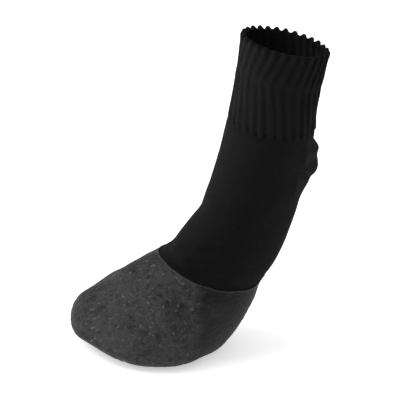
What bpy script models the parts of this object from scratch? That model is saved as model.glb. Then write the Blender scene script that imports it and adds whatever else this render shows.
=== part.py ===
"""Dog sock: a knitted tube sock, closed at the toe, whose paw end is dipped in rubber.

Metres, Z up, toe towards -Y, the two halves mirror each other across X = 0.
The sock stands empty on its rubber sole with its shaft over the heel of the sole.

Two solids:
  knit_upper   the whole knitted sock, one hollow shell open only at the cuff
  rubber_sole  the dipped coat, a cup that runs under and round the paw, 0.3 mm off the knit

Both are lofted from one table of sections and one ring function, so they follow the same last:
the shape that a dog's paw and wrist give the sock. The paw is broad and blunt, with a flat spot
under the heel, a slight arch, a flat ball and a little toe spring.
"""

import math
from collections import namedtuple

import bmesh
import bpy
import numpy as np

# ---- driving sizes, metres ----
SOCK_HEIGHT = 0.1853
PAW_LENGTH = 0.118
PAW_WIDTH = 0.0734
KNIT_WALL = 0.0015
CUFF_WALL = 0.0022
CUFF_DEPTH = 0.052
COAT_WALL = 0.0015
COAT_GAP = 0.0003

# ---- the short-row heel pocket, which puffs out behind the wrist just under the cuff ----
POCKET_PUFF = 0.0090
POCKET_TOP = 0.130
POCKET_TOP_EASE = 0.007
POCKET_BOTTOM = 0.093
POCKET_BOTTOM_EASE = 0.022
POCKET_WRAP = 1.4

COAT_LINE = 6.15  # the section number that the coat's top edge follows: "instep", and a little on

# ---- mesh fineness: rings from one section number to the next, closest at the heel pocket ----
HALF_COLUMNS = 20
SHAFT_RINGS = ((0.0, 2.0, 5), (2.0, 3.5, 9), (3.5, COAT_LINE, 8))
PAW_RINGS = 24
RIM_BEVEL = 0.0008
MERGE = 0.00001

# Each row is one section round the sock, from the cuff to the toe. Its front point and its back
# point are given forward of the frame's start and above the floor, as shares of PAW_LENGTH and
# SOCK_HEIGHT; its half width is a share of PAW_WIDTH. The two powers set how square the front
# half and the back half are: 2 is an ellipse.
Section = namedtuple(
    "Section", "name front_y front_z back_y back_z half_width front_power back_power"
)
SECTIONS = (
    Section("cuff rim", 0.353, 1.000, -0.083, 0.988, 0.341, 2.10, 2.10),
    Section("cuff middle", 0.329, 0.845, -0.078, 0.833, 0.339, 2.10, 2.10),
    Section("cuff foot", 0.324, 0.702, -0.095, 0.686, 0.343, 2.10, 2.10),
    Section("wrist", 0.332, 0.588, -0.100, 0.563, 0.350, 2.10, 2.10),
    Section("shin", 0.361, 0.477, -0.086, 0.437, 0.349, 2.10, 2.10),
    Section("pastern", 0.432, 0.377, -0.042, 0.317, 0.354, 2.15, 2.15),
    Section("instep", 0.541, 0.300, 0.064, 0.204, 0.376, 2.20, 2.30),
    Section("knuckle", 0.619, 0.271, 0.137, 0.105, 0.399, 2.25, 2.35),
    Section("heel seat", 0.669, 0.250, 0.215, 0.033, 0.400, 2.45, 2.50),
    Section("heel pad", 0.712, 0.232, 0.314, 0.005, 0.408, 2.60, 3.20),
    Section("arch", 0.751, 0.216, 0.441, 0.010, 0.444, 2.50, 4.00),
    Section("ball", 0.797, 0.193, 0.581, 0.005, 0.473, 2.10, 4.60),
    Section("toes", 0.853, 0.169, 0.708, 0.005, 0.443, 2.00, 4.40),
    Section("toe front", 0.908, 0.147, 0.808, 0.013, 0.400, 2.20, 4.40),
    Section("toe round", 0.949, 0.123, 0.886, 0.024, 0.328, 2.30, 3.60),
    Section("toe end", 0.975, 0.100, 0.942, 0.041, 0.242, 2.20, 3.30),
    Section("toe tip", 0.986, 0.082, 0.973, 0.052, 0.148, 2.10, 2.70),
    Section("toe close", 0.991, 0.071, 0.987, 0.059, 0.050, 2.00, 2.00),
)
NOSE = (0.9915, 0.0648)  # the closing point of the toe, in the same shares
KNIT_FLOOR = COAT_WALL + COAT_GAP  # the knit's underside stands this high on its coat
RIM_ANGLE = math.radians(60.0)  # only the open rim's two edges are sharper than this


def ease(share):
    """A share clipped to 0..1 and eased at both ends."""
    share = np.clip(share, 0.0, 1.0)
    return share * share * (3.0 - 2.0 * share)


def section_at(station):
    """The section columns at a fractional section number, on a smooth curve through the rows."""
    rows = np.array([row[1:] for row in SECTIONS])
    ends = np.vstack([2 * rows[0] - rows[1], rows, 2 * rows[-1] - rows[-2]])
    start = min(int(station), len(rows) - 2)
    share = station - start
    before, here, after, beyond = ends[start : start + 4]
    return 0.5 * (
        2 * here
        + (after - before) * share
        + (2 * before - 5 * here + 4 * after - beyond) * share**2
        + (3 * here - before - 3 * after + beyond) * share**3
    )


def half_ring_at(station):
    """The +X half of one ring on the knit's outer face, from its back point to its front point."""
    front_y, front_z, back_y, back_z, half_width, front_power, back_power = section_at(station)
    turn = np.linspace(-math.pi / 2.0, math.pi / 2.0, HALF_COLUMNS + 1)
    across, along = np.abs(np.cos(turn)), np.sin(turn)
    across[[0, -1]] = 0.0
    power = np.where(along >= 0.0, front_power, back_power)
    reach = np.sign(along) * np.abs(along) ** (2.0 / power)
    side = across ** (2.0 / power)
    forward = PAW_LENGTH * ((front_y + back_y) + reach * (front_y - back_y)) / 2.0
    height = SOCK_HEIGHT * ((front_z + back_z) + reach * (front_z - back_z)) / 2.0
    puff = ease((POCKET_TOP - height) / POCKET_TOP_EASE)
    puff *= ease((height - POCKET_BOTTOM) / POCKET_BOTTOM_EASE)
    forward -= POCKET_PUFF * puff * np.clip(-reach, 0.0, 1.0) ** POCKET_WRAP
    height = np.maximum(height, KNIT_FLOOR)
    return np.stack([side * half_width * PAW_WIDTH, -forward, height], axis=-1)


def half_skin(stations, offset):
    """Half rings of the knit's outer form grown by offset along its normals, and the nose."""
    rings = np.array([half_ring_at(station) for station in stations])
    nose = np.array([0.0, -PAW_LENGTH * NOSE[0] - offset, SOCK_HEIGHT * NOSE[1]])
    outward = np.cross(np.gradient(rings, axis=0), np.gradient(rings, axis=1))
    outward[:, [0, -1], 0] = 0.0
    outward /= np.linalg.norm(outward, axis=2, keepdims=True)
    return rings - offset * outward, nose


def cup_mesh(name, stations, offset):
    """The +X half of a cup with no thickness: quads between rings, and a fan closes the toe."""
    rings, nose = half_skin(stations, offset)
    bm = bmesh.new()
    grid = [[bm.verts.new(point) for point in ring] for ring in rings]
    tip = bm.verts.new(nose)
    for upper, lower in zip(grid, grid[1:]):
        for i in range(HALF_COLUMNS):
            bm.faces.new((upper[i], upper[i + 1], lower[i + 1], lower[i]))
    for i in range(HALF_COLUMNS):
        bm.faces.new((grid[-1][i], grid[-1][i + 1], tip))
    mesh = bpy.data.meshes.new(name)
    bm.to_mesh(mesh)
    bm.free()
    return mesh


def mirror(piece):
    """Adds the -X half."""
    both = piece.modifiers.new("other half", "MIRROR")
    both.use_axis = (True, False, False)
    both.use_clip = True
    both.merge_threshold = MERGE


def thicken(piece, wall, group=None):
    """Gives the cup its wall, inwards from its outer face."""
    solid = piece.modifiers.new("wall", "SOLIDIFY")
    solid.thickness = wall
    solid.offset = -1.0
    solid.use_even_offset = True
    solid.use_rim = True
    if group:
        solid.vertex_group = group


def soften(piece, width):
    """Rounds the two edges of the open rim."""
    bevel = piece.modifiers.new("rim", "BEVEL")
    bevel.width = width
    bevel.segments = 2
    bevel.limit_method = "ANGLE"
    bevel.angle_limit = RIM_ANGLE


def material(name, colour, roughness):
    made = bpy.data.materials.new(name)
    made.use_nodes = True
    shader = made.node_tree.nodes["Principled BSDF"]
    shader.inputs["Base Color"].default_value = (*colour, 1.0)
    shader.inputs["Roughness"].default_value = roughness
    return made


def add_piece(collection, name, mesh, look):
    piece = bpy.data.objects.new(name, mesh)
    piece.data.materials.append(look)
    collection.objects.link(piece)
    return piece


for leftover in list(bpy.data.objects):
    bpy.data.objects.remove(leftover)

sock = bpy.data.collections.new("dog_sock")
bpy.context.scene.collection.children.link(sock)

last_section = len(SECTIONS) - 1
shaft_stations = [
    np.linspace(start, end, count, endpoint=False) for start, end, count in SHAFT_RINGS
]
paw_stations = np.linspace(COAT_LINE, last_section, PAW_RINGS)
all_stations = np.concatenate([*shaft_stations, paw_stations])

black_knit = material("black_knit", (0.012, 0.012, 0.013), 0.95)
grey_rubber = material("grey_rubber", (0.075, 0.075, 0.078), 0.8)

upper = add_piece(sock, "knit_upper", cup_mesh("knit_upper", all_stations, 0.0), black_knit)
sole = add_piece(
    sock, "rubber_sole", cup_mesh("rubber_sole", paw_stations, COAT_GAP + COAT_WALL), grey_rubber
)

mirror(upper)
mirror(sole)

# The turned cuff is thicker than the rest of the knit.
thickness = upper.vertex_groups.new(name="thickness")
for vertex in upper.data.vertices:
    below_cuff = SOCK_HEIGHT - CUFF_DEPTH - vertex.co.z
    share = ease(0.5 - below_cuff / CUFF_WALL)
    weight = (KNIT_WALL + (CUFF_WALL - KNIT_WALL) * float(share)) / CUFF_WALL
    thickness.add([vertex.index], weight, "REPLACE")
thicken(upper, CUFF_WALL, "thickness")
soften(upper, RIM_BEVEL)
thicken(sole, COAT_WALL)

# Stand the sock with the middle of its footprint box over the origin.
both = np.vstack([np.array([v.co for v in piece.data.vertices]) for piece in (upper, sole)])
middle = (both[:, 1].min() + both[:, 1].max()) / 2.0
for piece in (upper, sole):
    for vertex in piece.data.vertices:
        vertex.co.y -= middle
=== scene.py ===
# %% [markdown]
# # A dog sock: the looks
#
# A black knitted tube sock for a dog's paw. It has a two by two rib cuff with a turned edge, a
# short-row heel pocket behind the wrist, plain knitting below, and a paw end dipped in crinkled
# grey rubber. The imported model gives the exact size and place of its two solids. This script
# stands a detailed piece in the place of each, in metres, Z up and the toe towards -Y.

# %% Load the frame
import math
from collections import namedtuple

import bpy
import numpy as np
from mathutils import Matrix, Vector


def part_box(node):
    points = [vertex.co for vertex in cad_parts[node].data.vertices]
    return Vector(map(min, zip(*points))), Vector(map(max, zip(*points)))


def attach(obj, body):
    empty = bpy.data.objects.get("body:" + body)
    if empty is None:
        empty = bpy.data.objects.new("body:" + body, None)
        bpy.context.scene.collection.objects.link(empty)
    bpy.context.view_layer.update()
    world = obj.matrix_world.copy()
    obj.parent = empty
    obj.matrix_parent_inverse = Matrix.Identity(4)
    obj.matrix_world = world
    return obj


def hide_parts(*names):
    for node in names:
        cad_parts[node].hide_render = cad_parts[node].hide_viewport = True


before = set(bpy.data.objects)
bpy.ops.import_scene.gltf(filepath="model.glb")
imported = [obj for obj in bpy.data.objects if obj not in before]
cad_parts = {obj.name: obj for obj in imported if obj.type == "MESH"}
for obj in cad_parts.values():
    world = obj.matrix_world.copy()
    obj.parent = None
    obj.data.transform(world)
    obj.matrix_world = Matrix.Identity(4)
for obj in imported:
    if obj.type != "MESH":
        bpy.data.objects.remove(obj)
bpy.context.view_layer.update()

# %% [markdown]
# ## Camera
#
# A sock is looked at from a little above, in front of its outer side. The camera stands far off
# with a long lens, so that the cuff and the toe are drawn at nearly one scale. It could look at
# the middle of the box with no roll, but a roll lets the shaft lean in the picture, as a leg
# does in a stride, while the sock itself stays upright on its sole.

# %% Helper for objects


def put(name, data):
    """Makes an object of this data and puts it in the scene."""
    made = bpy.data.objects.new(name, data)
    bpy.context.scene.collection.objects.link(made)
    return made


# %% Camera
AZIMUTH, ELEVATION, ROLL = math.radians(49.3), math.radians(21.0), math.radians(12.0)
DISTANCE = 1.8
LENS_MM, SENSOR_MM = 284.0, 36.0
AIM = Vector((0.0, 0.0, 0.090))  # about the middle of the sock's height
AIM_SIDE, AIM_UP = -0.0037, -0.0001  # small shifts of the aim, across and up the frame

side = Vector((math.cos(AZIMUTH), math.sin(AZIMUTH), 0.0))
back = Vector((
    math.sin(AZIMUTH) * math.cos(ELEVATION),
    -math.cos(AZIMUTH) * math.cos(ELEVATION),
    math.sin(ELEVATION),
))
up = back.cross(side)
rolled_side = side * math.cos(ROLL) + up * math.sin(ROLL)
rolled_up = up * math.cos(ROLL) - side * math.sin(ROLL)

camera = put("camera", bpy.data.cameras.new("camera"))
camera.data.lens, camera.data.sensor_width = LENS_MM, SENSOR_MM
eye = AIM + rolled_side * AIM_SIDE + rolled_up * AIM_UP + back * DISTANCE
turned = Matrix((rolled_side, rolled_up, back)).transposed().to_4x4()
camera.matrix_world = Matrix.Translation(eye) @ turned
bpy.context.scene.camera = camera
print("camera at", [round(v, 3) for v in eye])

# %% [markdown]
# ## Floor and light
#
# Black cloth shows its form only by soft highlights, so the light is one wide, soft sun from the
# front and the toe's side, over a pale sky that is brighter on that side. Softboxes would do the
# same, but they light the floor unevenly. The floor is one large pale sheet, and a low view past
# its edge sees a plain pale backdrop in place of the uneven sky.

# %% Helpers for nodes


def feed(tree, socket, value):
    """Links or sets one input."""
    if isinstance(value, bpy.types.NodeSocket):
        tree.links.new(value, socket)
    else:
        socket.default_value = value


def add(tree, kind, given=(), **settings):
    """Adds a node with these settings, and feeds its inputs by name or by number."""
    node = tree.nodes.new(kind)
    for name, value in settings.items():
        setattr(node, name, value)
    for name, value in dict(given).items():
        feed(tree, node.inputs[name], value)
    return node


def ramp(tree, value, start, end, low=0.0, high=1.0):
    """A value that eases from low at start to high at end."""
    names = ("Value", "From Min", "From Max", "To Min", "To Max")
    given = zip(names, (value, start, end, low, high))
    return add(tree, "ShaderNodeMapRange", given, interpolation_type="SMOOTHSTEP").outputs[0]


def start_finish(name, colour, **constants):
    """A new material whose Principled shader has its constant values set."""
    made = bpy.data.materials.new(name)
    made.use_nodes = True
    made.diffuse_color = (*colour, 1.0)
    shader = made.node_tree.nodes["Principled BSDF"]
    for label, value in constants.items():
        shader.inputs[label.replace("_", " ")].default_value = value
    return made, made.node_tree, shader


# %% Floor
WHITE = (1.0, 1.0, 1.0, 1.0)
FLOOR_HALF = 6.0
FLOOR_DROP = 0.0002
FLOOR_TONE, FLOOR_GLOW = (0.88, 0.88, 0.88), 0.48
FLOOR_ROUGHNESS, FLOOR_GLOSS = 0.9, 0.1

corners = ((-1, -1), (1, -1), (1, 1), (-1, 1))
floor_mesh = bpy.data.meshes.new("floor")
floor_mesh.from_pydata(
    [(x * FLOOR_HALF, y * FLOOR_HALF, -FLOOR_DROP) for x, y in corners], [], [(0, 1, 2, 3)]
)
floor = put("floor", floor_mesh)
pale_floor = start_finish(
    "pale_floor", FLOOR_TONE, Base_Color=(*FLOOR_TONE, 1.0), Emission_Color=WHITE,
    Emission_Strength=FLOOR_GLOW, Roughness=FLOOR_ROUGHNESS, Specular_IOR_Level=FLOOR_GLOSS,
)[0]
floor.data.materials.append(pale_floor)
print("floor:", 2.0 * FLOOR_HALF, "m wide")

# %% Light
KEY_LEFT, KEY_NEAR, KEY_HIGH = 0.84, 0.46, 0.58
KEY_FROM = (side * -KEY_LEFT + back * KEY_NEAR + Vector((0.0, 0.0, KEY_HIGH))).normalized()
KEY_STRENGTH, KEY_WIDTH = 2.05, math.radians(40.0)
SKY_DARK, SKY_BRIGHT = 0.05, 1.0
DARK_HEADING, BRIGHT_HEADING = -0.8, 0.9  # cosines of the angle to the key

key = put("key", bpy.data.lights.new("key", "SUN"))
key.data.energy, key.data.angle = KEY_STRENGTH, KEY_WIDTH
key.rotation_mode = "QUATERNION"
key.rotation_quaternion = KEY_FROM.to_track_quat("Z", "Y")

world = bpy.data.worlds.new("soft_sky")
world.use_nodes = True
bpy.context.scene.world = world
sky = world.node_tree
given = {0: add(sky, "ShaderNodeTexCoord").outputs["Generated"], 1: KEY_FROM}
toward = add(sky, "ShaderNodeVectorMath", given, operation="DOT_PRODUCT").outputs["Value"]
brightness = ramp(sky, toward, DARK_HEADING, BRIGHT_HEADING, SKY_DARK, SKY_BRIGHT)
lighting = sky.nodes["Background"]
feed(sky, lighting.inputs["Color"], WHITE)
feed(sky, lighting.inputs["Strength"], brightness)
backdrop = add(sky, "ShaderNodeBackground", {"Color": WHITE})
# The camera sees the backdrop, and everything else is lit by the sky.
camera_ray = add(sky, "ShaderNodeLightPath").outputs["Is Camera Ray"]
given = {0: camera_ray, 1: lighting.outputs[0], 2: backdrop.outputs[0]}
either = add(sky, "ShaderNodeMixShader", given).outputs[0]
feed(sky, sky.nodes["World Output"].inputs["Surface"], either)
bpy.context.scene.view_settings.view_transform = "Standard"
print("key light from", [round(v, 2) for v in KEY_FROM])

# %% [markdown]
# ## The last
#
# A sock has no shape of its own: the leg and the paw give it one. That shape is one table of
# sections, from the cuff to the toe, each with its front point, its back point and its half
# width. It could be sculpted, but a table keeps the knit and the rubber on one form.

# %% Table of sections
SOCK_HEIGHT = 0.1853
PAW_LENGTH = 0.118
PAW_WIDTH = 0.0734
COAT_STAND = 0.0018  # from the knit's face to the rubber's face

# Points are shares of the paw's length and the sock's height, half widths of the paw's width.
# A power of 2 makes that half of a ring round, and a higher one makes it squarer.
Section = namedtuple(
    "Section", "name front_y front_z back_y back_z half_width front_power back_power"
)
SECTIONS = (
    Section("cuff rim", 0.353, 1.000, -0.083, 0.988, 0.341, 2.10, 2.10),
    Section("cuff middle", 0.329, 0.845, -0.078, 0.833, 0.339, 2.10, 2.10),
    Section("cuff foot", 0.324, 0.702, -0.095, 0.686, 0.343, 2.10, 2.10),
    Section("wrist", 0.332, 0.588, -0.100, 0.563, 0.350, 2.10, 2.10),
    Section("shin", 0.361, 0.477, -0.086, 0.437, 0.349, 2.10, 2.10),
    Section("pastern", 0.432, 0.377, -0.042, 0.317, 0.354, 2.15, 2.15),
    Section("instep", 0.541, 0.300, 0.064, 0.204, 0.376, 2.20, 2.30),
    Section("knuckle", 0.619, 0.271, 0.137, 0.105, 0.399, 2.25, 2.35),
    Section("heel seat", 0.669, 0.250, 0.215, 0.033, 0.400, 2.45, 2.50),
    Section("heel pad", 0.712, 0.232, 0.314, 0.005, 0.408, 2.60, 3.20),
    Section("arch", 0.751, 0.216, 0.441, 0.010, 0.444, 2.50, 4.00),
    Section("ball", 0.797, 0.193, 0.581, 0.005, 0.473, 2.10, 4.60),
    Section("toes", 0.853, 0.169, 0.708, 0.005, 0.443, 2.00, 4.40),
    Section("toe front", 0.908, 0.147, 0.808, 0.013, 0.400, 2.20, 4.40),
    Section("toe round", 0.949, 0.123, 0.886, 0.024, 0.328, 2.30, 3.60),
    Section("toe end", 0.975, 0.100, 0.942, 0.041, 0.242, 2.20, 3.30),
    Section("toe tip", 0.986, 0.082, 0.973, 0.052, 0.148, 2.10, 2.70),
    Section("toe close", 0.991, 0.071, 0.987, 0.059, 0.050, 2.00, 2.00),
)
NOSE = (0.9915, 0.0648)
# The table's forward zero, measured towards +Y: the knit's lowest Y is the nose of its toe.
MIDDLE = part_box("knit_upper")[0][1] + PAW_LENGTH * NOSE[0]
print(len(SECTIONS), "sections, from the", SECTIONS[0].name, "to the", SECTIONS[-1].name)


def ease(share):
    """A share clipped to 0..1 and eased at both ends."""
    share = np.clip(share, 0.0, 1.0)
    return share * share * (3.0 - 2.0 * share)


def bell(distance, width):
    """1 at no distance, falling smoothly to nothing over about two widths."""
    return np.exp(-((distance / width) ** 2))


# %% Rings of the last
# The heel pocket puffs the back out between two heights above the floor.
POCKET_PUFF = 0.0090
POCKET_TOP, POCKET_TOP_EASE = 0.130, 0.007
POCKET_BOTTOM, POCKET_BOTTOM_EASE = 0.093, 0.022
POCKET_WRAP = 1.4  # higher keeps the puff nearer to the middle of the back
HALF_RING_POINTS = 241
TURN = np.linspace(-math.pi / 2.0, math.pi / 2.0, HALF_RING_POINTS)


def sections_at(stations):
    """One row of section numbers for each fractional station, on a smooth curve."""
    rows = np.array([row[1:] for row in SECTIONS])
    ends = np.vstack([2 * rows[0] - rows[1], rows, 2 * rows[-1] - rows[-2]])
    start = np.minimum(stations.astype(int), len(rows) - 2)
    share = (stations - start)[:, None]
    before, here, after, beyond = (ends[start + i] for i in range(4))
    return 0.5 * (
        2 * here
        + (after - before) * share
        + (2 * before - 5 * here + 4 * after - beyond) * share**2
        + (3 * here - before - 3 * after + beyond) * share**3
    )


def half_rings(stations):
    """The +X half of each ring on the knit's outer face, from its back point to its front."""
    columns = [column[:, None] for column in sections_at(stations).T]
    front_y, front_z, back_y, back_z, half_width, front_power, back_power = columns
    across, along = np.abs(np.cos(TURN)), np.sin(TURN)
    across[[0, -1]] = 0.0
    power = np.where(along >= 0.0, front_power, back_power)
    reach = np.sign(along) * np.abs(along) ** (2.0 / power)
    forward = PAW_LENGTH * ((front_y + back_y) + reach * (front_y - back_y)) / 2.0
    height = SOCK_HEIGHT * ((front_z + back_z) + reach * (front_z - back_z)) / 2.0
    puff = ease((POCKET_TOP - height) / POCKET_TOP_EASE)
    puff *= ease((height - POCKET_BOTTOM) / POCKET_BOTTOM_EASE)
    forward -= POCKET_PUFF * puff * np.clip(-reach, 0.0, 1.0) ** POCKET_WRAP
    height = np.maximum(height, COAT_STAND)
    wide = across ** (2.0 / power) * half_width * PAW_WIDTH
    return np.stack([wide, MIDDLE - forward, height], axis=-1)


def even_rings(stations, count):
    """Points spaced evenly round each ring, from its back over +X, and each ring's girth."""
    made, girths = [], []
    for half in half_rings(stations):
        whole = np.vstack([half, (half * (-1.0, 1.0, 1.0))[-2::-1]])
        run = np.append(0.0, np.cumsum(np.linalg.norm(np.diff(whole, axis=0), axis=1)))
        places = np.arange(count) / count * run[-1]
        made.append(np.stack([np.interp(places, run, whole[:, i]) for i in range(3)], axis=-1))
        girths.append(run[-1])
    return np.array(made), np.array(girths)


print("heel pocket stands out by", POCKET_PUFF * 1000, "mm")

# %% [markdown]
# The knit grows from the rim down, so a place on it is given as a knitter would: how far down
# from the rim, in metres of cloth, and how far round, as a share of the girth from the back
# over the +X side. One fine grid of the form turns such places into points and normals.

# %% Places on the form
GRID_ROUND = 720
GRID_STEP = 0.0006
STATIONS, COARSE_ROUND = 851, 96


def unit(vectors):
    """The directions of the vectors, each of length 1."""
    return vectors / np.linalg.norm(vectors, axis=-1, keepdims=True)


stations = np.linspace(0.0, len(SECTIONS) - 1.0, STATIONS)
coarse, _ = even_rings(stations, COARSE_ROUND)
steps = np.linalg.norm(np.diff(coarse, axis=0), axis=2).mean(axis=1)
station_downs = np.append(0.0, np.cumsum(steps))
FULL_DOWN = station_downs[-1]
grid_downs = np.linspace(0.0, FULL_DOWN, int(FULL_DOWN / GRID_STEP) + 1)
form, form_girth = even_rings(np.interp(grid_downs, station_downs, stations), GRID_ROUND)
round_way = np.roll(form, -1, axis=1) - np.roll(form, 1, axis=1)
down_way = np.gradient(form, axis=0)
form_normal = unit(np.cross(round_way, down_way))
nose_point = np.array([0.0, MIDDLE - PAW_LENGTH * NOSE[0], SOCK_HEIGHT * NOSE[1]])


def sample(values, down, around):
    """Values of the fine grid at places down and around, blended between its four neighbours."""
    row = np.clip(down / FULL_DOWN, 0.0, 1.0) * (len(grid_downs) - 1)
    column = (around % 1.0) * GRID_ROUND
    row0 = np.minimum(row.astype(int), len(grid_downs) - 2)
    column0 = column.astype(int) % GRID_ROUND
    column1 = (column0 + 1) % GRID_ROUND
    p, q = (row - row0)[..., None], (column - column.astype(int))[..., None]
    upper = values[row0, column0] * (1 - q) + values[row0, column1] * q
    lower = values[row0 + 1, column0] * (1 - q) + values[row0 + 1, column1] * q
    return upper * (1 - p) + lower * p


def place(down, around, out):
    """Points of the form at those places, moved out along its normal, and the normals."""
    normal = unit(sample(form_normal, down, around))
    return sample(form, down, around) + normal * out[..., None], normal


print(f"cloth from rim to toe: {FULL_DOWN * 1000:.0f} mm, rim girth {form_girth[0] * 1000:.0f} mm")
print("normals face out:", bool(form_normal[10, GRID_ROUND // 4, 0] > 0))

# %% [markdown]
# ## Folds of the knit
#
# Soft cloth on a bent leg gathers in a few places: a roll over the instep where the leg meets
# the rubber, with a dimple above it and a dip before the lip, soft drags from the pocket to the
# instep, the short-row creases of the heel pocket, and a tuck over the heel. Cloth simulation
# would scatter folds where it likes, so each one is given as a soft ridge or trough with its own
# width and height.

# %% Folds
# A fold runs between two places (round share, metres down). A height below zero is a trough.
FOLD_END = 0.35  # share of its length over which each end dies out
Fold = namedtuple("Fold", "name around0 down0 around1 down1 width height")
FOLDS = (
    Fold("instep roll", 0.41, 0.1435, 0.56, 0.1405, 0.0036, 0.0021),
    Fold("instep roll, +X end", 0.34, 0.1455, 0.51, 0.1430, 0.0036, 0.0013),
    Fold("dimple above the roll", 0.37, 0.1285, 0.46, 0.1325, 0.0026, -0.0011),
    Fold("dip at the rubber", 0.35, 0.1528, 0.52, 0.1512, 0.0026, -0.0019),
    Fold("dip over the instep", 0.53, 0.1380, 0.86, 0.1380, 0.0055, -0.0014),
    Fold("dip above the instep", 0.46, 0.1110, 0.84, 0.1110, 0.0060, -0.0012),
    Fold("drag over the instep", 0.33, 0.1240, 0.57, 0.1330, 0.0036, 0.0009),
    Fold("drag, pocket to instep", 0.20, 0.0960, 0.40, 0.1240, 0.0060, -0.0006),
    Fold("drag, ridge", 0.22, 0.0840, 0.42, 0.1120, 0.0070, 0.0006),
    Fold("drag, far side", 0.80, 0.0960, 0.62, 0.1220, 0.0060, -0.0006),
    Fold("heel fold", 0.88, 0.1290, 1.12, 0.1290, 0.0045, 0.0008),
    Fold("heel crease", 0.86, 0.1220, 1.14, 0.1220, 0.0035, -0.0009),
    Fold("pocket crest", 0.86, 0.0670, 1.14, 0.0670, 0.0040, 0.0012),
    Fold("pocket crease, mid", 0.88, 0.0768, 1.12, 0.0768, 0.0012, -0.0016),
    Fold("pocket lower lobe", 0.88, 0.0810, 1.12, 0.0810, 0.0030, 0.0008),
    Fold("cuff over the pocket", 0.86, 0.0460, 1.20, 0.0460, 0.0070, 0.0011),
    Fold("pocket top", 0.86, 0.0555, 1.18, 0.0555, 0.0022, 0.0011),
)
# These are on the +X side, and each has its like on the other.
PAIRED_FOLDS = (
    Fold("pocket crease", 0.09, 0.0785, 0.27, 0.0688, 0.0014, -0.0018),
    Fold("pocket flat", -0.02, 0.0655, 0.21, 0.0655, 0.0038, -0.0013),
    Fold("pocket corner", 0.00, 0.0745, 0.21, 0.0700, 0.0034, 0.0012),
    Fold("pocket edge", 0.19, 0.0500, 0.225, 0.0700, 0.0024, 0.0008),
    Fold("lower facet edge", 0.24, 0.0715, 0.20, 0.0900, 0.0022, 0.0006),
)
FOLDS += PAIRED_FOLDS + tuple(
    fold._replace(around0=1.0 - fold.around0, around1=1.0 - fold.around1)
    for fold in PAIRED_FOLDS
)
# The rubber follows this one, so it is kept apart from the folds of the bare cloth.
TUCKS = (Fold("tuck over the heel", 0.84, 0.1420, 1.28, 0.1420, 0.0058, -0.0013),)


def fold_height(folds, down, around):
    """How far the folds lift the cloth at each place, in metres."""
    girth = np.interp(down, grid_downs, form_girth)
    total = np.zeros(np.broadcast(down, around).shape)
    for fold in folds:
        middle = (fold.around0 + fold.around1) / 2.0
        near = middle + (around - middle + 0.5) % 1.0 - 0.5
        run = np.array([fold.around1 - fold.around0, fold.down1 - fold.down0])
        across = run[0] * girth
        length = np.hypot(across, run[1])
        x, y = (near - fold.around0) * girth, down - fold.down0
        along = (x * across + y * run[1]) / length
        aside = (y * across - x * run[1]) / length
        fade = FOLD_END * length
        ends = ease(along / fade) * ease((length - along) / fade)
        total += fold.height * ends * bell(aside, fold.width)
    return total


print(len(FOLDS), "folds and", len(TUCKS), "tuck placed")

# %% Edge of the heel pocket
# Metres down, and how far round from the back the heel pocket's painted sheen reaches. It paints
# the cloth paler than the rest, and it fades in under the cuff and out again above the heel.
POCKET_EDGE = (
    (0.0500, 0.170), (0.0570, 0.183), (0.0605, 0.218), (0.0640, 0.216), (0.0697, 0.185),
    (0.0720, 0.232), (0.0825, 0.208), (0.0920, 0.140), (0.1000, 0.060),
)
POCKET_EDGE_SOFT = 0.020
SHEEN_FROM, SHEEN_FADE_IN = 0.0530, 0.0030
SHEEN_TO, SHEEN_FADE_OUT = 0.1000, 0.0150


def from_back_of(around):
    """How far round a place is from the back, on whichever side it is."""
    return np.minimum(around % 1.0, 1.0 - around % 1.0)


def stretched(down, around):
    """1 where the heel pocket's side gets a painted sheen, and 0 off it."""
    edge = np.interp(down, *np.array(POCKET_EDGE).T)
    across = ease((edge - from_back_of(around)) / POCKET_EDGE_SOFT + 0.5)
    fade_in = ease((down - SHEEN_FROM) / SHEEN_FADE_IN)
    return across * fade_in * ease((SHEEN_TO - down) / SHEEN_FADE_OUT)


print("pocket's edge:", len(POCKET_EDGE), "places on each side")

# %% [markdown]
# ## The knitted wall
#
# The sock is knitted whole, so it is one mesh: the outer face from the rim to the toe, a round
# turned edge, and the inner face back down to the toe. Its columns are a third of a wale apart.
# The rows are close where the cloth shows and wide under the rubber. Each vertex keeps its place
# on the cloth, for the ribs, and the UV map counts wales and courses, for the stitches.

# %% Lip of the rubber
# The folds die out under the rubber, so its lip comes first.
COAT_TOP = 0.1425
LIP_SAG, SAG_AROUND, SAG_WIDTH = 0.0140, 0.432, 0.205
HEEL_RISE, HEEL_RISE_FULL, HEEL_RISE_END = 0.0060, 0.10, 0.19
# Each wave: how many go round the lip, its height, and where round it starts, in radians.
LIP_WAVES = ((3, 0.00035, 0.4), (7, 0.00022, 2.1), (12, 0.00016, 4.0), (19, 0.00010, 1.2))


def coat_top(around):
    """How far down the cloth the rubber's wavy lip is: it sags over the instep on the +X side,
    and climbs the back of the heel."""
    near = (around - SAG_AROUND + 0.5) % 1.0 - 0.5
    off_heel = from_back_of(around) - HEEL_RISE_FULL
    on_heel = 1.0 - ease(off_heel / (HEEL_RISE_END - HEEL_RISE_FULL))
    turn = around * math.tau
    waves = sum(size * np.sin(count * turn + shift) for count, size, shift in LIP_WAVES)
    return COAT_TOP + LIP_SAG * bell(near, SAG_WIDTH) - HEEL_RISE * on_heel + waves


print("lip, mm down:", [round(float(coat_top(share)) * 1000) for share in (0.0, 0.25, 0.5, 0.75)])

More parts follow.
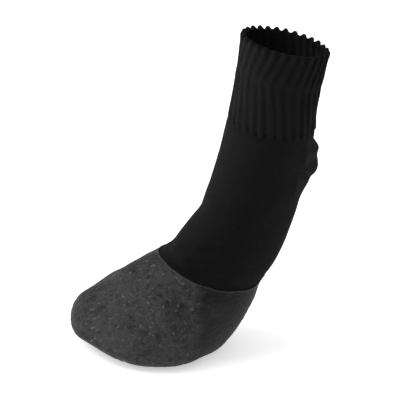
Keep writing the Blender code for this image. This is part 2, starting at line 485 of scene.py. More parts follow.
# %% Rows and columns of the wall
RIBS, WALES_IN_RIB = 28, 4
COLUMNS_IN_RIB = 12
COLUMNS = RIBS * COLUMNS_IN_RIB
COURSE = 0.00105  # one row of stitches
CUFF_DEPTH, CUFF_TILT = 0.0490, 0.0028
WELT_DEPTH = 0.0190
WELT_WALL, CUFF_WALL, LEG_WALL = 0.0023, 0.0018, 0.0014
WALL_LEAD, WELT_EASE, CUFF_EASE = 0.001, 0.002, 0.003
CUFF_GRIP = 0.0004  # how much closer to the leg the cuff is
SHOWN_DOWN = 0.1625  # the cloth below this is always under the rubber
SHOWN_STEP, HIDDEN_ROWS = 0.00095, 40
INNER_CUFF_END, INNER_CUFF_ROWS = CUFF_DEPTH + 0.006, 20
INNER_LEG_START, INNER_LEG_ROWS = CUFF_DEPTH + 0.010, 32
LIP_LEAD, LIP_EASE = 0.0004, 0.0024  # where the folds die out at the lip
RIM_TURNS = (0.25, 0.5, 0.75)  # rows of a turned edge, as shares of a half turn
RIM_LEAN = 0.9  # how much the ribs push the turned edge up, against 1 outwards

outer_rows = np.concatenate([
    np.arange(0.0, SHOWN_DOWN, SHOWN_STEP),
    np.linspace(SHOWN_DOWN, FULL_DOWN, HIDDEN_ROWS),
])
inner_rows = np.concatenate([
    np.linspace(0.0, INNER_CUFF_END, INNER_CUFF_ROWS),
    np.linspace(INNER_LEG_START, FULL_DOWN, INNER_LEG_ROWS),
])
around = np.arange(COLUMNS) / COLUMNS


def cuff_foot(around):
    """How far down the cuff ends: a little further at the front than at the back."""
    return CUFF_DEPTH - CUFF_TILT * np.cos(around * math.tau)


def wall_at(down, around):
    """Thickness of the cloth down the sock: the welt is double, the cuff firmer than the leg."""
    past_welt = ease((down - WELT_DEPTH + WALL_LEAD) / WELT_EASE)
    past_cuff = ease((down - cuff_foot(around) + WALL_LEAD) / CUFF_EASE)
    return WELT_WALL + (CUFF_WALL - WELT_WALL) * past_welt + (LEG_WALL - CUFF_WALL) * past_cuff


def cloth_lift(down, around):
    """The cloth's outer face over the form: folds, and a cuff that grips a little tighter."""
    cuff = 1.0 - ease((down - cuff_foot(around)) / CUFF_EASE)
    bare = 1.0 - ease((down - coat_top(around) + LIP_LEAD) / LIP_EASE)
    tuck = fold_height(TUCKS, down, around)
    return fold_height(FOLDS, down, around) * bare + tuck - CUFF_GRIP * cuff


print("rows outside:", len(outer_rows), "and inside:", len(inner_rows))

# %% Lay out the wall's vertices


def lay_rows(rows, sunk):
    """Rings of points and of normals, sunk into the cloth by a share of its thickness."""
    rings = []
    for down in rows:
        d = np.full(COLUMNS, down)
        rings.append(place(d, around, cloth_lift(d, around) - sunk * wall_at(d, around)))
    return [list(kind) for kind in zip(*rings)]


points, lifts = lay_rows(outer_rows, sunk=0.0)
inner_points, inner_lifts = lay_rows(inner_rows, sunk=1.0)
rim, rim_normal, rim_up = points[0], lifts[0], unit(points[0] - points[1])
edge_points, edge_lifts = [], []
half_wall = WELT_WALL / 2.0
for turn in RIM_TURNS:
    tilt = math.pi * turn
    inward, above = half_wall * (1.0 - math.cos(tilt)), half_wall * math.sin(tilt)
    edge_points.append(rim - rim_normal * inward + rim_up * above)
    edge_lifts.append(rim_normal + rim_up * RIM_LEAN * math.sin(tilt))

grid = np.array(points[::-1] + edge_points + inner_points)
lift_grid = np.array(lifts[::-1] + edge_lifts + inner_lifts)
down_grid = np.concatenate([outer_rows[::-1], np.zeros(len(RIM_TURNS)), inner_rows])
ROWS = len(grid)
print("wall:", ROWS, "rows of", COLUMNS)

# %% Helpers for tubes


def closed_tube(name, grid, first_tip, last_tip):
    """A smooth-shaded mesh object from rings of points, closed at both ends by a fan to a tip."""
    rows, columns = grid.shape[:2]
    vertices = np.vstack([grid.reshape(-1, 3), first_tip, last_tip])
    tip0, tip1, last = rows * columns, rows * columns + 1, (rows - 1) * columns
    round_next = [(j, (j + 1) % columns) for j in range(columns)]
    faces = [
        (a + j, a + columns + j, a + columns + k, a + k)
        for a in range(0, last, columns) for j, k in round_next
    ]
    for j, k in round_next:
        faces.append((tip0, j, k))
        faces.append((tip1, last + k, last + j))
    mesh = bpy.data.meshes.new(name)
    mesh.from_pydata([tuple(v) for v in vertices], [], faces)
    mesh.validate()
    mesh.polygons.foreach_set("use_smooth", np.ones(len(mesh.polygons), bool))
    return put(name, mesh)


# %% Helpers to keep values and to measure


def keep(piece, **fields):
    """Stores numbers or vectors on the vertices, under the names given."""
    for name, values in fields.items():
        values = np.asarray(values, np.float32)
        kind, part = ("FLOAT", "value") if values.ndim == 1 else ("FLOAT_VECTOR", "vector")
        attribute = piece.data.attributes.new(name, kind, "POINT")
        attribute.data.foreach_set(part, values.ravel())


def signed_volume(mesh):
    """Above zero where a closed mesh faces out."""
    co = np.empty(len(mesh.vertices) * 3)
    mesh.vertices.foreach_get("co", co)
    co = co.reshape(-1, 3)
    mesh.calc_loop_triangles()
    tri = np.empty(len(mesh.loop_triangles) * 3, np.int32)
    mesh.loop_triangles.foreach_get("vertices", tri)
    a, b, c = co[tri.reshape(-1, 3)].transpose(1, 0, 2)
    return float(np.einsum("ij,ij->i", a, np.cross(b, c)).sum() / 6.0)


def count_stitches(piece, downs):
    """A UV map that counts wales across and courses down, from each ring's metres down."""
    rows, columns = downs.shape
    uv = piece.data.uv_layers.new(name="stitches")
    loop_uv = np.zeros((len(piece.data.loops), 2))
    for polygon in piece.data.polygons:
        spots = [divmod(v, columns) for v in polygon.vertices]
        wraps = max(c for _, c in spots) - min(c for _, c in spots) > columns // 2
        for loop, (row, column) in zip(polygon.loop_indices, spots):
            course = (downs[row, column] if row < rows else FULL_DOWN) / COURSE
            column += columns if wraps and column < columns // 2 else 0
            loop_uv[loop] = (column * RIBS * WALES_IN_RIB / columns, course)
    uv.data.foreach_set("uv", loop_uv.ravel())
    print(piece.name, "stitches round:", RIBS * WALES_IN_RIB, "courses:", int(FULL_DOWN / COURSE))


# %% Build the wall
knit = closed_tube("knit_sock", grid, nose_point, nose_point + np.array([0.0, LEG_WALL, 0.0]))
downs, arounds = np.repeat(down_grid, COLUMNS), np.tile(around, ROWS)
# The last two values of each are for the tips.
keep(
    knit,
    down=np.append(downs, [FULL_DOWN] * 2),
    around=np.append(arounds, [0.5, 0.5]),
    lip=np.append(np.tile(coat_top(around), ROWS), [COAT_TOP] * 2),
    stretched=np.append(stretched(downs, arounds), [0.0, 0.0]),
    lift=np.vstack([lift_grid.reshape(-1, 3), np.zeros((2, 3))]),
)
count_stitches(knit, np.repeat(down_grid[:, None], COLUMNS, axis=1))
print("knit wall volume:", round(signed_volume(knit.data) * 1e6, 1), "ml")

# %% [markdown]
# ## Node trees, in code
#
# Ribs and crinkles repeat over a surface, so geometry node trees make them. Each tree takes a
# mesh and a few named sizes. Its result is turned into a plain mesh at once, because the packed
# part is made of plain meshes. Whatever looks random is a noise with a fixed seed.

# %% Helpers for sums in a tree


def calc(tree, operation, *values):
    """The output of one Math node."""
    return add(tree, "ShaderNodeMath", enumerate(values), operation=operation).outputs[0]


def vector_calc(tree, operation, *values):
    """The output of one Vector Math node."""
    return add(tree, "ShaderNodeVectorMath", enumerate(values), operation=operation).outputs[0]


def times(tree, first, second):
    """The product of two values."""
    return calc(tree, "MULTIPLY", first, second)


def weigh(tree, total, *weighed):
    """Adds each (value, weight) to a starting total, and gives the sum."""
    for value, weight in weighed:
        total = calc(tree, "MULTIPLY_ADD", value, weight, total)
    return total


def between(tree, share, low, high):
    """A value that goes evenly from low at a share of 0 to high at 1."""
    return calc(tree, "MULTIPLY_ADD", share, high - low, low)


def hump(tree, distance, width):
    """1 at no distance, falling smoothly to nothing over about two widths."""
    square = calc(tree, "POWER", calc(tree, "DIVIDE", distance, width), 2.0)
    return calc(tree, "EXPONENT", times(tree, square, -1.0))


# %% Helpers for noise


def noise_node(tree, where, scale, detail, roughness, seed):
    """A Noise Texture node. Its scale is in cells per metre, and W is the seed."""
    names = ("Vector", "W", "Scale", "Detail", "Roughness")
    given = zip(names, (where, seed, scale, detail, roughness))
    return add(tree, "ShaderNodeTexNoise", given, noise_dimensions="4D")


def noise(tree, where, scale, detail=2.0, roughness=0.5, seed=0.0):
    """A noise that runs from about -1 to 1."""
    grey = noise_node(tree, where, scale, detail, roughness, seed).outputs[0]
    return calc(tree, "MULTIPLY_ADD", grey, 2.0, -1.0)


def warp(tree, where, scale, amount, seed):
    """Places shifted by up to half the amount, so that a pattern read there isn't regular."""
    colour = noise_node(tree, where, scale, detail=1.0, roughness=0.5, seed=seed).outputs["Color"]
    shift = vector_calc(tree, "MULTIPLY_ADD", colour, [amount] * 3, [-amount / 2.0] * 3)
    return vector_calc(tree, "ADD", where, shift)


def ridges(tree, where, scale, detail=2.0, seed=0.0, steepness=3.2):
    """Winding ridges, 1 along each crest and about -1 between crests."""
    crossing = calc(tree, "ABSOLUTE", noise(tree, where, scale, detail, seed=seed))
    return calc(tree, "MULTIPLY_ADD", crossing, -steepness, 1.0)


# %% Helpers for geometry trees


def field(tree, name, kind="FLOAT"):
    """A value kept on the vertices, read inside a geometry tree."""
    node = add(tree, "GeometryNodeInputNamedAttribute", {"Name": name}, data_type=kind)
    return node.outputs["Attribute"]


def start_tree(name, sizes):
    """A geometry tree with a mesh input and named sizes. Returns it, its mesh and the sizes."""
    tree = bpy.data.node_groups.new(name, "GeometryNodeTree")
    tree.interface.new_socket("Mesh", in_out="INPUT", socket_type="NodeSocketGeometry")
    for label in sizes:
        tree.interface.new_socket(label, in_out="INPUT", socket_type="NodeSocketFloat")
    tree.interface.new_socket("Finish", in_out="INPUT", socket_type="NodeSocketMaterial")
    tree.interface.new_socket("Mesh out", in_out="OUTPUT", socket_type="NodeSocketGeometry")
    given = add(tree, "NodeGroupInput").outputs
    return tree, given["Mesh"], {label: given[label] for label in sizes}, given["Finish"]


def move(tree, mesh, direction, distance):
    """Moves the vertices along a direction."""
    given = {0: direction, "Scale": distance}
    offset = add(tree, "ShaderNodeVectorMath", given, operation="SCALE").outputs[0]
    given = {"Geometry": mesh, "Offset": offset}
    return add(tree, "GeometryNodeSetPosition", given).outputs["Geometry"]


def note(tree, mesh, name, value):
    """Stores a value on the vertices, for the material."""
    given = {"Name": name, "Geometry": mesh, "Value": value}
    return add(tree, "GeometryNodeStoreNamedAttribute", given).outputs["Geometry"]


def end_tree(tree, mesh, finish):
    """Realises what the tree made and gives it its finish."""
    real = add(tree, "GeometryNodeRealizeInstances", {"Geometry": mesh}).outputs["Geometry"]
    given = {"Geometry": real, "Material": finish}
    dressed = add(tree, "GeometryNodeSetMaterial", given).outputs["Geometry"]
    add(tree, "NodeGroupOutput", {0: dressed})


def run_tree(piece, tree, finish, sizes):
    """Runs the tree on a piece and keeps the result as the piece's plain mesh."""
    modifier = piece.modifiers.new(tree.name, "NODES")
    modifier.node_group = tree
    for label, value in {**sizes, "Finish": finish}.items():
        modifier[tree.interface.items_tree[label].identifier] = value
    graph = bpy.context.evaluated_depsgraph_get()
    graph.update()
    made = bpy.data.meshes.new_from_object(
        piece.evaluated_get(graph), preserve_all_data_layers=True, depsgraph=graph
    )
    piece.modifiers.remove(modifier)
    before, piece.data = piece.data, made
    made.name = piece.name
    bpy.data.meshes.remove(before)
    print(piece.name, "after", tree.name, len(made.vertices), "vertices")


# %% [markdown]
# ## Black yarn
#
# Each stitch is a V of yarn, too small for its own mesh, so the finish draws it from the wale
# and course count as a bump: two slanting legs in each wale, with a gap between wales. Black
# yarn is nearly all dark, and paler on the ribbed cuff. Its colour has painted shade between
# the stitches and in the rib valleys, which leaves the tops of the stitches palest, and a
# painted sheen on the heel pocket's side.

# %% Helpers for finishes


def read_attribute(tree, name):
    """A value kept on the vertices, read inside a material."""
    return add(tree, "ShaderNodeAttribute", attribute_name=name).outputs["Fac"]


def mix_colour(tree, share, low, high):
    """A colour between two others: the first at a share of 0, the second at 1."""
    given = {"Factor": share, 6: low, 7: high}  # 6 and 7 are A and B for colours
    return add(tree, "ShaderNodeMix", given, data_type="RGBA").outputs[2]


def bump(tree, height, distance):
    """A normal tilted as if the surface stood out by a height, in units of the distance."""
    given = {"Height": height, "Distance": distance}
    return add(tree, "ShaderNodeBump", given).outputs["Normal"]


# A stitch's two legs: how steeply they climb, and a power that makes them fuller as it drops.
LEG_SLANT, LEG_POWER = 1.3, 0.6
LOW_BETWEEN_COURSES = 0.5  # share of their height that is left between courses


def stitch_height(tree):
    """Height of plain knitting from 0 to 1, from the UV map that counts wales and courses."""
    counts = add(tree, "ShaderNodeUVMap", uv_map="stitches").outputs["UV"]
    split = add(tree, "ShaderNodeSeparateXYZ", {0: counts})
    in_wale = calc(tree, "SUBTRACT", calc(tree, "FRACT", split.outputs["X"]), 0.5)
    aside = calc(tree, "ABSOLUTE", in_wale)
    leg = calc(tree, "SINE", times(tree, aside, math.tau))
    leg = calc(tree, "POWER", calc(tree, "MAXIMUM", leg, 0.0), LEG_POWER)
    climb = calc(tree, "MULTIPLY_ADD", aside, LEG_SLANT, split.outputs["Y"])
    wave = calc(tree, "COSINE", times(tree, climb, math.tau))
    half_drop = (1.0 - LOW_BETWEEN_COURSES) / 2.0
    wave = calc(tree, "MULTIPLY_ADD", wave, half_drop, 1.0 - half_drop)
    return times(tree, leg, wave)


# %% Black knit finish
# Colours of the yarn: painted shade between the stitches, then on plain cloth, on ribs, and the
# painted sheen on the heel pocket.
YARN_DEEP, YARN_PLAIN = (0.0010, 0.0010, 0.0012, 1.0), (0.0050, 0.0050, 0.0056, 1.0)
YARN_RIB, YARN_POCKET_SHEEN = (0.0082, 0.0082, 0.0092, 1.0), (0.0130, 0.0127, 0.0145, 1.0)
FLUFF_SCALE, PATCH_SCALE = 1900.0, 55.0
# What each adds to a tone that goes from the deep colour at 0 to the pale one at 1.
YARN_TONE, STITCH_SHADE_TONE, FLUFF_TONE, PATCH_TONE, VALLEY_SHADE_TONE = 0.12, 0.80, 0.45, 0.22, -0.38
STITCH_RELIEF, FLUFF_RELIEF = 0.00060, 0.22

black_knit, tree, shader = start_finish(
    "black_yarn", (0.012, 0.012, 0.013),
    Roughness=0.92, Specular_IOR_Level=0.07,
    Sheen_Weight=0.03, Sheen_Roughness=0.45, Sheen_Tint=(0.75, 0.76, 0.80, 1.0),
)
here = add(tree, "ShaderNodeTexCoord").outputs["Object"]
stitches = stitch_height(tree)
fluff = noise(tree, here, FLUFF_SCALE, detail=3.0, roughness=0.7)
patches = noise(tree, here, PATCH_SCALE, seed=3.0)
# Painted shade: the gaps between stitches, the rib valleys and the holes at the cuff's foot are
# darkened here.
tone = weigh(
    tree, YARN_TONE, (stitches, STITCH_SHADE_TONE), (fluff, FLUFF_TONE), (patches, PATCH_TONE),
    (read_attribute(tree, "valley"), VALLEY_SHADE_TONE),
)
pale = mix_colour(tree, read_attribute(tree, "ribbed"), YARN_PLAIN, YARN_RIB)
# Painted sheen: the heel pocket's side is made paler in the yarn's colour.
pale = mix_colour(tree, read_attribute(tree, "stretched"), pale, YARN_POCKET_SHEEN)
yarn = mix_colour(tree, tone, YARN_DEEP, pale)
relief = weigh(tree, stitches, (fluff, FLUFF_RELIEF))
feed(tree, shader.inputs["Base Color"], yarn)
feed(tree, shader.inputs["Normal"], bump(tree, relief, STITCH_RELIEF))
print("finish:", black_knit.name)

# %% [markdown]
# ## Ribs of the cuff
#
# Two by two rib makes round columns with a valley between them. In the turned welt at the top
# the cloth is double and its ribs lean one way, below it they drift back the other way, and at
# the cuff's foot each valley ends in a small hole, where the plain knitting starts. Each rib
# could be a tube of its own, but cloth is one sheet, so the tree moves the wall along the
# direction that each vertex keeps. Both faces move together and the cloth keeps its thickness.
# At the turned edge that direction leans up, which scallops the rim.

# %% Where the ribs run
RIB_SQUARENESS = 1.5
RIB_WAVER, WAVER_SCALE = 0.16, 75.0

ribs, mesh, size, finish = start_tree("knit_ribs", (
    "Ribs", "Rib depth", "Cuff depth", "Cuff tilt", "Welt depth", "Welt lean", "Cuff drift",
    "Front fade", "Rim scallop", "End hole depth", "Unevenness",
))
down, round_share = field(ribs, "down"), field(ribs, "around")
position = add(ribs, "GeometryNodeInputPosition").outputs[0]
turn_round = calc(ribs, "COSINE", times(ribs, round_share, math.tau))
cuff_end = times(ribs, turn_round, size["Cuff tilt"])
cuff_end = calc(ribs, "SUBTRACT", size["Cuff depth"], cuff_end)
# The welt ends in a break. The ribs lean above it, by its share of the welt, and drift below it.
from_break = calc(ribs, "SUBTRACT", down, size["Welt depth"])
above_break = calc(ribs, "DIVIDE", from_break, size["Welt depth"])
above_break = calc(ribs, "MAXIMUM", times(ribs, above_break, -1.0), 0.0)
rib_run = calc(ribs, "SUBTRACT", cuff_end, size["Welt depth"])
below_break = calc(ribs, "MAXIMUM", calc(ribs, "DIVIDE", from_break, rib_run), 0.0)
phase = weigh(
    ribs, times(ribs, round_share, size["Ribs"]),
    (above_break, size["Welt lean"]), (below_break, size["Cuff drift"]),
    (noise(ribs, position, WAVER_SCALE, detail=1.0, seed=1.0), RIB_WAVER),
)
crest = calc(ribs, "COSINE", times(ribs, phase, math.tau))
crest = calc(ribs, "TANH", times(ribs, crest, RIB_SQUARENESS))
print("ribs laid out:", len(ribs.nodes), "nodes")

# %% How strong each rib is
CUFF_END_EASE = 0.0014
BREAK_WIDTH, BREAK_LOSS = 0.0024, 0.55
STREAK_SCALE, STREAK_STRETCH, STREAK_SHARE = 120.0, 0.30, 1.1
FRONT_POWER = 3.0  # higher keeps the fade nearer to the front
RIM_WIDTH = 0.0022
WEAKEST, STRONGEST = 0.12, 1.6

to_end = calc(ribs, "SUBTRACT", cuff_end, down)
in_cuff = ramp(ribs, to_end, 0.0, CUFF_END_EASE)
along_ribs = vector_calc(ribs, "MULTIPLY", position, (1.0, 1.0, STREAK_STRETCH))
streaks = noise(ribs, along_ribs, STREAK_SCALE, detail=1.0, seed=7.0)
at_break = hump(ribs, from_break, BREAK_WIDTH)
strength = weigh(ribs, 1.0, (at_break, -BREAK_LOSS), (streaks, STREAK_SHARE))
at_front = calc(ribs, "POWER", calc(ribs, "MULTIPLY_ADD", turn_round, -0.5, 0.5), FRONT_POWER)
faded = times(ribs, at_front, size["Front fade"])
strength = times(ribs, strength, calc(ribs, "SUBTRACT", 1.0, faded))
strength = weigh(ribs, strength, (hump(ribs, down, RIM_WIDTH), size["Rim scallop"]))
strength = calc(ribs, "MINIMUM", calc(ribs, "MAXIMUM", strength, WEAKEST), STRONGEST)
strength = times(ribs, strength, in_cuff)
half_depth = times(ribs, size["Rib depth"], 0.5)
height = times(ribs, times(ribs, crest, strength), half_depth)
print("and their strength:", len(ribs.nodes), "nodes")

# %% Holes at the cuff's foot, and the cloth's unevenness
HOLE_WIDTH, HOLE_SHADE = 0.0011, 2.6
UNEVEN_SCALE = 110.0
EVEN_FROM, EVEN_TO = -0.0005, 0.0030  # past the rubber's lip, where the cloth is hidden

valley = calc(ribs, "MULTIPLY_ADD", crest, -0.5, 0.5)
hole = hump(ribs, calc(ribs, "SUBTRACT", to_end, CUFF_END_EASE), HOLE_WIDTH)
hole = times(ribs, hole, calc(ribs, "POWER", valley, 2.0))
hole_depth = times(ribs, hole, size["End hole depth"])
height = calc(ribs, "SUBTRACT", height, hole_depth)
uneven = noise(ribs, position, UNEVEN_SCALE, seed=11.0)
uneven = times(ribs, uneven, size["Unevenness"])
past_lip = calc(ribs, "SUBTRACT", down, field(ribs, "lip"))
height = weigh(ribs, height, (uneven, ramp(ribs, past_lip, EVEN_FROM, EVEN_TO, 1.0, 0.0)))
moved = move(ribs, mesh, field(ribs, "lift", "FLOAT_VECTOR"), height)
# Painted shade: the rib valleys and the holes at the cuff's foot are kept as valley, which darkens
# the yarn's colour.
shade = times(ribs, valley, strength)
shade = calc(ribs, "MAXIMUM", shade, times(ribs, hole, HOLE_SHADE))
moved = note(ribs, moved, "ribbed", in_cuff)
end_tree(ribs, note(ribs, moved, "valley", shade), finish)
print("rib tree:", len(ribs.nodes), "nodes")

# %% Knit the ribs
run_tree(knit, ribs, black_knit, {
    "Ribs": float(RIBS), "Rib depth": 0.0013, "Cuff depth": CUFF_DEPTH, "Cuff tilt": CUFF_TILT,
    "Welt depth": WELT_DEPTH, "Welt lean": 1.0, "Cuff drift": 1.05, "Front fade": 0.50,
    "Rim scallop": 0.6, "End hole depth": 0.0005, "Unevenness": 0.00022,
})

# %% [markdown]
# ## The rubber dip
#
# The paw end is dipped, so the rubber is one film over the knit: a mesh cup on the same form,
# with a thin, slightly wavy lip. It dried thicker in a few pools, thinner in others, and its
# skin is crinkled most over the toe. The crinkles could follow the cup's rows, but those crowd
# together at the toe, so they are noise in space.

# %% Pools in the rubber
# Where the film dried thicker, or thinner where the height is below zero, in metres.
Pool = namedtuple("Pool", "name around down reach height")
POOLS = (
    Pool("under the toe", 0.775, 0.2495, 0.0080, 0.0011),
    Pool("toe, far side", 0.634, 0.2175, 0.0085, 0.0012),
    Pool("knuckle, far side", 0.576, 0.1765, 0.0100, 0.0013),
    Pool("between them", 0.600, 0.1935, 0.0070, -0.0006),
    Pool("waist", 0.170, 0.1930, 0.0070, 0.0006),
    Pool("heel corner", 0.142, 0.1800, 0.0100, -0.0009),
)


def pooled(down, around):
    """How far the pools lift the rubber's face at each place, in metres."""
    here = sample(form, down, around)
    total = np.zeros(len(here))
    for pool in POOLS:
        middle = sample(form, np.array([pool.down]), np.array([pool.around]))
        total += pool.height * bell(np.linalg.norm(here - middle, axis=1), pool.reach)
    return total


print(len(POOLS), "pools")

# %% Cup of rubber
COAT_COLUMNS, COAT_ROWS, INNER_ROWS = 320, 250, 44
COAT_CROWDING = 1.08  # above 1 the rows are closer near the lip
LIP_STAND, TOP_STAND, COAT_GAP = 0.0007, 0.0013, 0.0003
LIP_RUN = 0.012  # from the lip to where the film is as thick as it gets
SOLE_TURN = 1.6  # how soon the film is as thick as the sole's, as it turns to face down
# Width of the painted highlight along the rubber's lip.
LIP_HIGHLIGHT_WIDTH = 0.0009

coat_around = np.arange(COAT_COLUMNS) / COAT_COLUMNS
lip = coat_top(coat_around)
outer, inner, lip_edge, beads = [], [], [], []
for share in np.linspace(0.0, 1.0, COAT_ROWS) ** COAT_CROWDING:
    d = lip + share * (FULL_DOWN - lip)
    facing_down = -sample(form_normal, d, coat_around)[:, 2]
    full_stand = TOP_STAND + (COAT_STAND - TOP_STAND) * ease(facing_down * SOLE_TURN)
    stand = LIP_STAND + (full_stand - LIP_STAND) * ease((d - lip) / LIP_RUN)
    stand += pooled(d, coat_around)
    stand += fold_height(TUCKS, d, coat_around)
    outer.append(place(d, coat_around, stand)[0])
    beads.append(bell(d - lip, LIP_HIGHLIGHT_WIDTH))
for share in np.linspace(0.0, 1.0, INNER_ROWS):
    d = lip + share * (FULL_DOWN - lip)
    inner.append(place(d, coat_around, COAT_GAP + fold_height(TUCKS, d, coat_around))[0])
lip_up = unit(outer[0] - outer[1])
lip_middle = (outer[0] + inner[0]) / 2.0
lip_half = (outer[0] - inner[0]) / 2.0
lip_radius = np.linalg.norm(lip_half, axis=1, keepdims=True)
for turn in RIM_TURNS:
    tilt = math.pi * turn
    lip_edge.append(lip_middle + lip_half * math.cos(tilt) + lip_up * lip_radius * math.sin(tilt))

coat_grid = np.array(outer[::-1] + lip_edge + inner)
coat_rows = len(coat_grid)
tip_stand = COAT_STAND + pooled(np.array([FULL_DOWN]), np.zeros(1))[0]
coat_tip = nose_point + np.array([0.0, -tip_stand, 0.0])
coat_inner_tip = nose_point + np.array([0.0, -COAT_GAP, 0.0])
coat = closed_tube("rubber_dip", coat_grid, coat_tip, coat_inner_tip)
print("rubber volume:", round(signed_volume(coat.data) * 1e6, 1), "ml")

# %% How crinkled the skin is, and where the lip gets a painted highlight
# Shares of the full crinkling: at the lip, to where it is full, and behind the ball of the foot.
SKIN_AT_LIP, SKIN_LIP_SHARE = 0.35, 0.05
SKIN_AT_HEEL, SKIN_TURN_Y, SKIN_TURN_RUN = 0.45, -0.002, 0.024

from_lip = np.linspace(1.0, 0.0, COAT_ROWS)[:, None]
towards_toe = ease((SKIN_TURN_Y - coat_grid[:COAT_ROWS, :, 1]) / SKIN_TURN_RUN)
skin = SKIN_AT_LIP + (1.0 - SKIN_AT_LIP) * ease(from_lip / SKIN_LIP_SHARE)
skin = skin * (SKIN_AT_HEEL + (1.0 - SKIN_AT_HEEL) * towards_toe)
print("skin's crinkling, as a share:", round(skin.min(), 2), "to", round(skin.max(), 2))
skin = np.append(skin, np.zeros((coat_rows - COAT_ROWS) * COAT_COLUMNS))
bead = np.vstack([beads[::-1], np.ones((coat_rows - COAT_ROWS, COAT_COLUMNS))])
keep(coat, skin=np.append(skin, [1.0, 0.0]), bead=np.append(bead, [0.0, 0.0]))

# %% Count the stitches that show through the rubber, in step with the knit under it
count_stitches(coat, np.concatenate([
    lip + from_lip * (FULL_DOWN - lip),
    np.repeat(lip[None], coat_rows - COAT_ROWS, axis=0),
]))

# %% Crinkle tree
STRAY_SCALE, STRAY = 260.0, 0.0022
PIT_CHANCE, PIT_SMALLEST, PIT_WIDEST = 0.45, 0.05, 0.42  # widths are shares of the spacing
CRINKLE_MIDDLE = 0.5

crinkles, mesh, size, finish = start_tree("rubber_crinkle", (
    "Lump height", "Lump size", "Crinkle height", "Crinkle size", "Pit depth", "Pit spacing",
    "Deepest",
))
position = add(crinkles, "GeometryNodeInputPosition").outputs[0]
facing = add(crinkles, "GeometryNodeInputNormal").outputs[0]
lump_scale = calc(crinkles, "DIVIDE", 1.0, size["Lump size"])
lumps = noise(crinkles, position, lump_scale, detail=1.0, seed=2.0)
strayed = warp(crinkles, position, STRAY_SCALE, STRAY, seed=3.0)
crinkle_scale = calc(crinkles, "DIVIDE", 1.0, size["Crinkle size"])
crinkle = ridges(crinkles, strayed, crinkle_scale, detail=1.5, seed=5.0)
pit_scale = calc(crinkles, "DIVIDE", 1.0, size["Pit spacing"])
pits = add(crinkles, "ShaderNodeTexVoronoi", {"Vector": strayed, "Scale": pit_scale})
chance = add(crinkles, "ShaderNodeSeparateXYZ", {0: pits.outputs["Color"]}).outputs[0]
pit_reach = ramp(crinkles, chance, PIT_CHANCE, 1.0, PIT_SMALLEST, PIT_WIDEST)
pit = ramp(crinkles, pits.outputs["Distance"], 0.0, pit_reach, 1.0, 0.0)
above_middle = calc(crinkles, "SUBTRACT", crinkle, CRINKLE_MIDDLE)
height = times(crinkles, lumps, size["Lump height"])
height = weigh(crinkles, height, (above_middle, size["Crinkle height"]))
height = calc(crinkles, "SUBTRACT", height, times(crinkles, pit, size["Pit depth"]))
floor_of_pits = times(crinkles, size["Deepest"], -1.0)
height = calc(crinkles, "MAXIMUM", height, floor_of_pits)
height = times(crinkles, height, field(crinkles, "skin"))
# The crests and pits are kept for the rubber's colour, which paints the crests paler as painted
# highlights and the pits darker as painted shade.
moved = note(crinkles, move(crinkles, mesh, facing, height), "crest", crinkle)
end_tree(crinkles, note(crinkles, moved, "pit", pit), finish)
print("crinkle tree:", len(crinkles.nodes), "nodes")

# %% [markdown]
# ## Grey rubber
#
# The rubber is a thin matte film, so the knit below it shows a little. It dried unevenly, so its
# tone is mottled at random. Its colour also has painted highlights on the crests and along the
# lip, and painted shade in the pits. The toe is painted paler where the light falls on it and the
# heel darker as painted shade, and most of its pale flecks, which are painted glints, are on the
# toe too. Paint could carry all this, but a tone added up from a few plain causes is easier
# to change.

# %% Patterns of the rubber
GRAIN_SCALE, MOTTLE_SCALE, BROAD_SCALE = 900.0, 240.0, 36.0
WRINKLE_SCALE, WRINKLE_STRAY_SCALE, WRINKLE_STRAY = 620.0, 500.0, 0.0012
LIT_TOE_EDGE_Y, LIT_TOE_FULL_Y, LIT_TOE_WANDER = -0.006, -0.021, 0.009

grey_rubber, tree, shader = start_finish(
    "dried_rubber", (0.05, 0.05, 0.052), Specular_IOR_Level=0.15,
)
here = add(tree, "ShaderNodeTexCoord").outputs["Object"]
grain = noise(tree, here, GRAIN_SCALE, detail=3.0, roughness=0.7, seed=1.0)
strayed = warp(tree, here, WRINKLE_STRAY_SCALE, WRINKLE_STRAY, seed=2.0)
wrinkles = ridges(tree, strayed, WRINKLE_SCALE, seed=6.0)
mottle = noise(tree, here, MOTTLE_SCALE, detail=3.0, roughness=0.65, seed=4.0)
broad = noise(tree, here, BROAD_SCALE, detail=1.0, seed=8.0)
along_foot = add(tree, "ShaderNodeSeparateXYZ", {0: here}).outputs["Y"]
# Painted light and shade: the rubber is painted paler towards the lit toe and darker towards the
# heel, along a wandering line.
strayed_y = weigh(tree, along_foot, (broad, LIT_TOE_WANDER))
lit_toe = ramp(tree, strayed_y, LIT_TOE_EDGE_Y, LIT_TOE_FULL_Y)
print("patterns of the rubber:", len(tree.nodes), "nodes")

# %% Tone of the rubber
RUBBER_DEEP, RUBBER_PALE = (0.004, 0.004, 0.0044, 1.0), (0.034, 0.034, 0.0355, 1.0)
# What each adds to a tone that goes from the deep colour at 0 to the pale one at 1.
CREST_LIGHT_TONE, WRINKLE_LIGHT_TONE, MOTTLE_TONE = 0.30, 0.20, 0.85
GRAIN_TONE, BROAD_TONE, PIT_SHADE_TONE = 0.20, 0.22, -0.40
HEEL_SHADE_TONE, LIT_TOE_TONE, LIP_HIGHLIGHT_TONE = -0.17, 0.53, 0.75
MOTTLE_AND_SHADING_AT_HEEL = 0.55  # how much of the mottle and painted shading is left towards the heel, away from the lit toe

# Painted light and shade: paler on the crests and wrinkles, darker in the pits. The rest of this
# sum is random mottle.
mottle_and_shading = weigh(
    tree, 0.0, (read_attribute(tree, "crest"), CREST_LIGHT_TONE), (wrinkles, WRINKLE_LIGHT_TONE),
    (mottle, MOTTLE_TONE), (grain, GRAIN_TONE), (broad, BROAD_TONE),
    (read_attribute(tree, "pit"), PIT_SHADE_TONE),
)
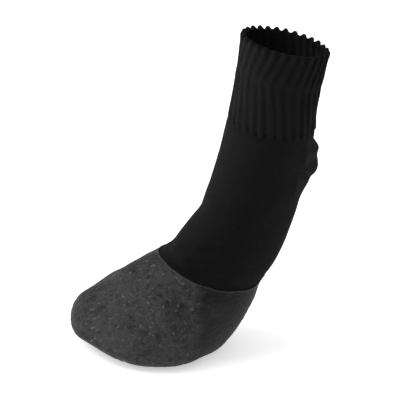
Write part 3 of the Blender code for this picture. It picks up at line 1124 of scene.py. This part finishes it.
# Painted shade at the heel, painted light towards the toe and a painted highlight along the lip.
tone = weigh(
    tree, HEEL_SHADE_TONE, (mottle_and_shading, between(tree, lit_toe, MOTTLE_AND_SHADING_AT_HEEL, 1.0)),
    (read_attribute(tree, "bead"), LIP_HIGHLIGHT_TONE), (lit_toe, LIT_TOE_TONE),
)
film = mix_colour(tree, tone, RUBBER_DEEP, RUBBER_PALE)
print("and its tone:", len(tree.nodes), "nodes")

# %% Painted glints and bumps of the rubber
GLINT_COLOUR = (0.112, 0.112, 0.118, 1.0)
GLINT_SCALE, GLINT_EDGE, GLINT_CORE = 470.0, 0.20, 0.50
CLUSTER_SCALE, CLUSTER_EDGE, CLUSTER_CORE = 60.0, -0.4, 0.5
GLINTS_OFF_CLUSTER, GLINTS_AT_HEEL = 0.25, 0.2
WRINKLE_RELIEF_HEEL, WRINKLE_RELIEF_TOE = 0.16, 0.50
GRAIN_RELIEF, KNIT_RELIEF, SKIN_RELIEF = 0.35, 0.15, 0.00035
RUBBER_ROUGHNESS, ROUGHNESS_SPREAD = 0.58, 0.14

# Painted glints: pale specks in the rubber's colour, most of them on the lit toe.
clusters = noise(tree, here, CLUSTER_SCALE, detail=1.0, seed=12.0)
clusters = ramp(tree, clusters, CLUSTER_EDGE, CLUSTER_CORE, GLINTS_OFF_CLUSTER, 1.0)
clusters = times(tree, clusters, between(tree, lit_toe, GLINTS_AT_HEEL, 1.0))
glint = noise(tree, here, GLINT_SCALE, detail=1.0, seed=9.0)
glint = times(tree, ramp(tree, glint, GLINT_EDGE, GLINT_CORE), clusters)
feed(tree, shader.inputs["Base Color"], mix_colour(tree, glint, film, GLINT_COLOUR))
feed(tree, shader.inputs["Roughness"], weigh(tree, RUBBER_ROUGHNESS, (mottle, ROUGHNESS_SPREAD)))
creasing = between(tree, lit_toe, WRINKLE_RELIEF_HEEL, WRINKLE_RELIEF_TOE)
relief = weigh(
    tree, times(tree, wrinkles, creasing),
    (grain, GRAIN_RELIEF), (stitch_height(tree), KNIT_RELIEF),
)
feed(tree, shader.inputs["Normal"], bump(tree, relief, SKIN_RELIEF))
print("finish:", grey_rubber.name)

# %% Crinkle the rubber, and press it flat where it meets the floor
run_tree(coat, crinkles, grey_rubber, {
    "Lump height": 0.00015, "Lump size": 0.0065, "Crinkle height": 0.00034,
    "Crinkle size": 0.0042, "Pit depth": 0.00036, "Pit spacing": 0.0040, "Deepest": 0.00070,
})
for vertex in coat.data.vertices:
    vertex.co.z = max(vertex.co.z, 0.0)

# %% [markdown]
# ## Hand over
#
# Each detailed piece stands for one solid of the imported model. It is hung under the model's
# root, and the solid it stands for is hidden.

# %% Hand over
for piece, node, slot in (
    (knit, "knit_upper", "black_knit"),
    (coat, "rubber_sole", "grey_rubber"),
):
    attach(piece, "root")
    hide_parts(node)
    piece.data.calc_loop_triangles()
    print(piece.name, len(piece.data.loop_triangles), "triangles")
